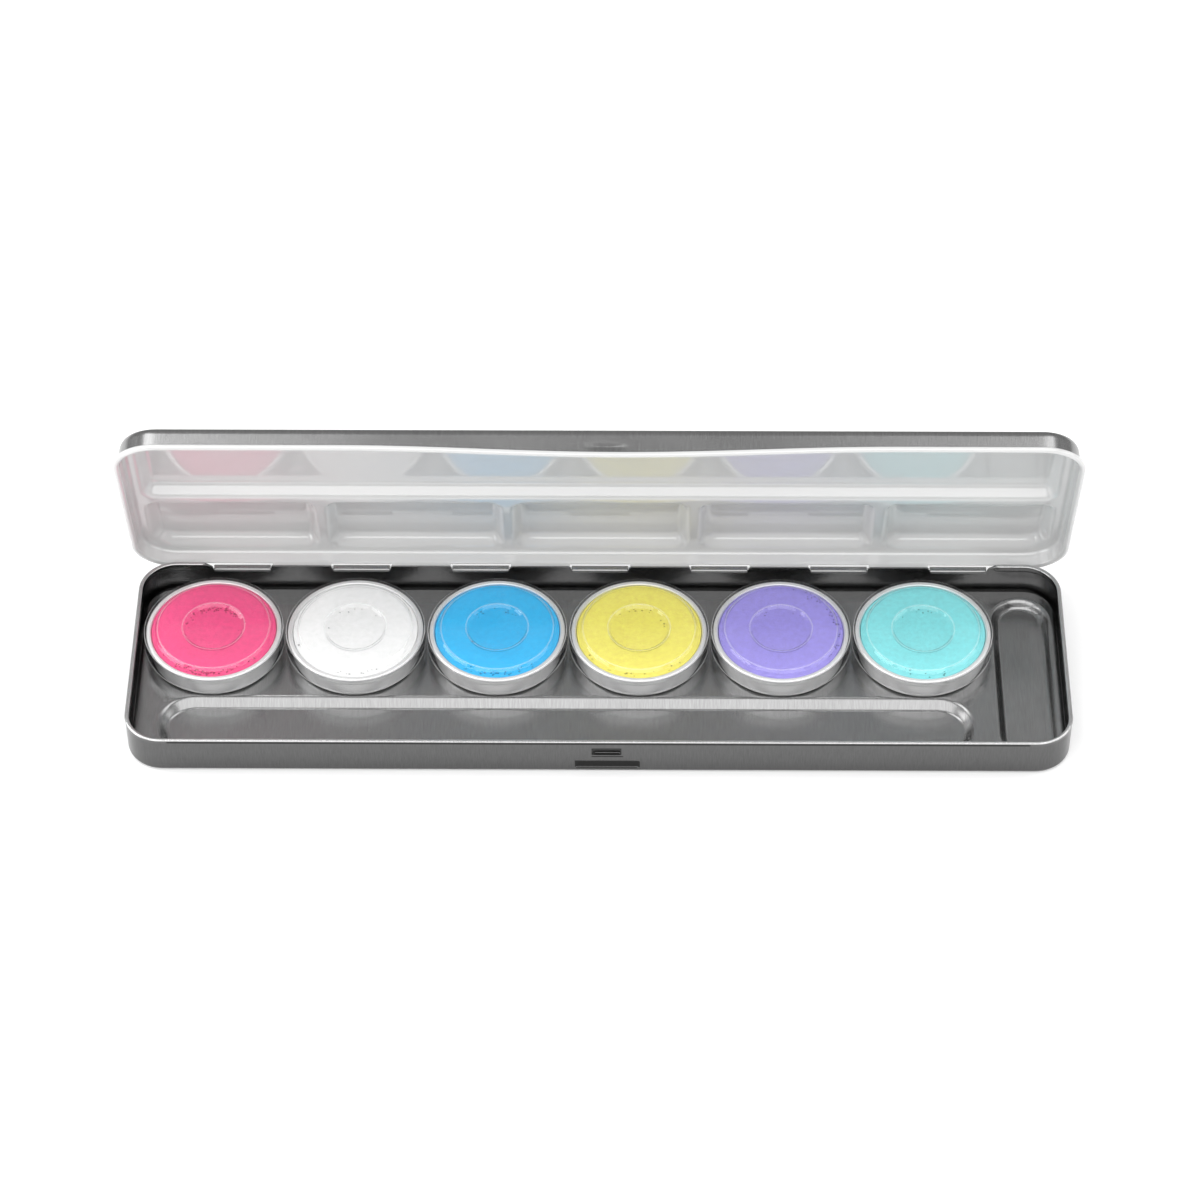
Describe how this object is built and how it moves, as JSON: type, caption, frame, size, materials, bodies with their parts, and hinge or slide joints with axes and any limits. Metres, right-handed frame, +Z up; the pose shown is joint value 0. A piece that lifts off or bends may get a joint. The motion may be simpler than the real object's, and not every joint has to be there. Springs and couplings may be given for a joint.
{
  "type": "paint palette tin",
  "caption": "Flat hinged metal paint tin with round capped colour pans in the tray and white mixing wells pressed in the lid.",
  "frame": {"origin": "centre of the footprint of the open tin, on the surface it stands on", "axes": "+X along the row of pans to the right, +Y towards the hinge, +Z up"},
  "size_m": [0.2082, 0.06, 0.06],
  "materials": {
    "satin_tinplate": "satin grey tinplate",
    "white_enamel": "gloss white enamel inside, bare satin tinplate outside",
    "wire_steel": "drawn wire",
    "aluminium": "bright pressed sheet",
    "clear_plastic": "clear, thin",
    "paint_pink": "pressed cake of colour, matte",
    "paint_white": "pressed cake of colour, matte",
    "paint_blue": "pressed cake of colour, matte",
    "paint_yellow": "pressed cake of colour, matte",
    "paint_violet": "pressed cake of colour, matte",
    "paint_mint": "pressed cake of colour, matte"
  },
  "bodies": {
    "tray": {"tray_base": "satin_tinplate", "hinge_wire": "wire_steel"},
    "lid": {"lid_shell": "white_enamel"},
    "pan_pink": {"pan_cup_pink": "aluminium", "paint_pink": "paint_pink"},
    "cover_pink": {"clear_cap_pink": "clear_plastic"},
    "pan_white": {"pan_cup_white": "aluminium", "paint_white": "paint_white"},
    "cover_white": {"clear_cap_white": "clear_plastic"},
    "pan_blue": {"pan_cup_blue": "aluminium", "paint_blue": "paint_blue"},
    "cover_blue": {"clear_cap_blue": "clear_plastic"},
    "pan_yellow": {"pan_cup_yellow": "aluminium", "paint_yellow": "paint_yellow"},
    "cover_yellow": {"clear_cap_yellow": "clear_plastic"},
    "pan_violet": {"pan_cup_violet": "aluminium", "paint_violet": "paint_violet"},
    "cover_violet": {"clear_cap_violet": "clear_plastic"},
    "pan_mint": {"pan_cup_mint": "aluminium", "paint_mint": "paint_mint"},
    "cover_mint": {"clear_cap_mint": "clear_plastic"}
  },
  "joints": [
    {"name": "lid_hinge", "type": "hinge", "parent": "tray", "child": "lid", "pos_m": [0, 0.02362, 0.0066], "axis": [-1, 0, 0], "range_deg": [-75.5, 99.5]},
    {"name": "pan_lift_pink", "type": "slide", "parent": "tray", "child": "pan_pink", "axis": [0, 0, 1], "range_m": [0, 0.02]},
    {"name": "cap_lift_pink", "type": "slide", "parent": "pan_pink", "child": "cover_pink", "axis": [0, 0, 1], "range_m": [0, 0.02]},
    {"name": "pan_lift_white", "type": "slide", "parent": "tray", "child": "pan_white", "axis": [0, 0, 1], "range_m": [0, 0.02]},
    {"name": "cap_lift_white", "type": "slide", "parent": "pan_white", "child": "cover_white", "axis": [0, 0, 1], "range_m": [0, 0.02]},
    {"name": "pan_lift_blue", "type": "slide", "parent": "tray", "child": "pan_blue", "axis": [0, 0, 1], "range_m": [0, 0.02]},
    {"name": "cap_lift_blue", "type": "slide", "parent": "pan_blue", "child": "cover_blue", "axis": [0, 0, 1], "range_m": [0, 0.02]},
    {"name": "pan_lift_yellow", "type": "slide", "parent": "tray", "child": "pan_yellow", "axis": [0, 0, 1], "range_m": [0, 0.02]},
    {"name": "cap_lift_yellow", "type": "slide", "parent": "pan_yellow", "child": "cover_yellow", "axis": [0, 0, 1], "range_m": [0, 0.02]},
    {"name": "pan_lift_violet", "type": "slide", "parent": "tray", "child": "pan_violet", "axis": [0, 0, 1], "range_m": [0, 0.02]},
    {"name": "cap_lift_violet", "type": "slide", "parent": "pan_violet", "child": "cover_violet", "axis": [0, 0, 1], "range_m": [0, 0.02]},
    {"name": "pan_lift_mint", "type": "slide", "parent": "tray", "child": "pan_mint", "axis": [0, 0, 1], "range_m": [0, 0.02]},
    {"name": "cap_lift_mint", "type": "slide", "parent": "pan_mint", "child": "cover_mint", "axis": [0, 0, 1], "range_m": [0, 0.02]}
  ]
}
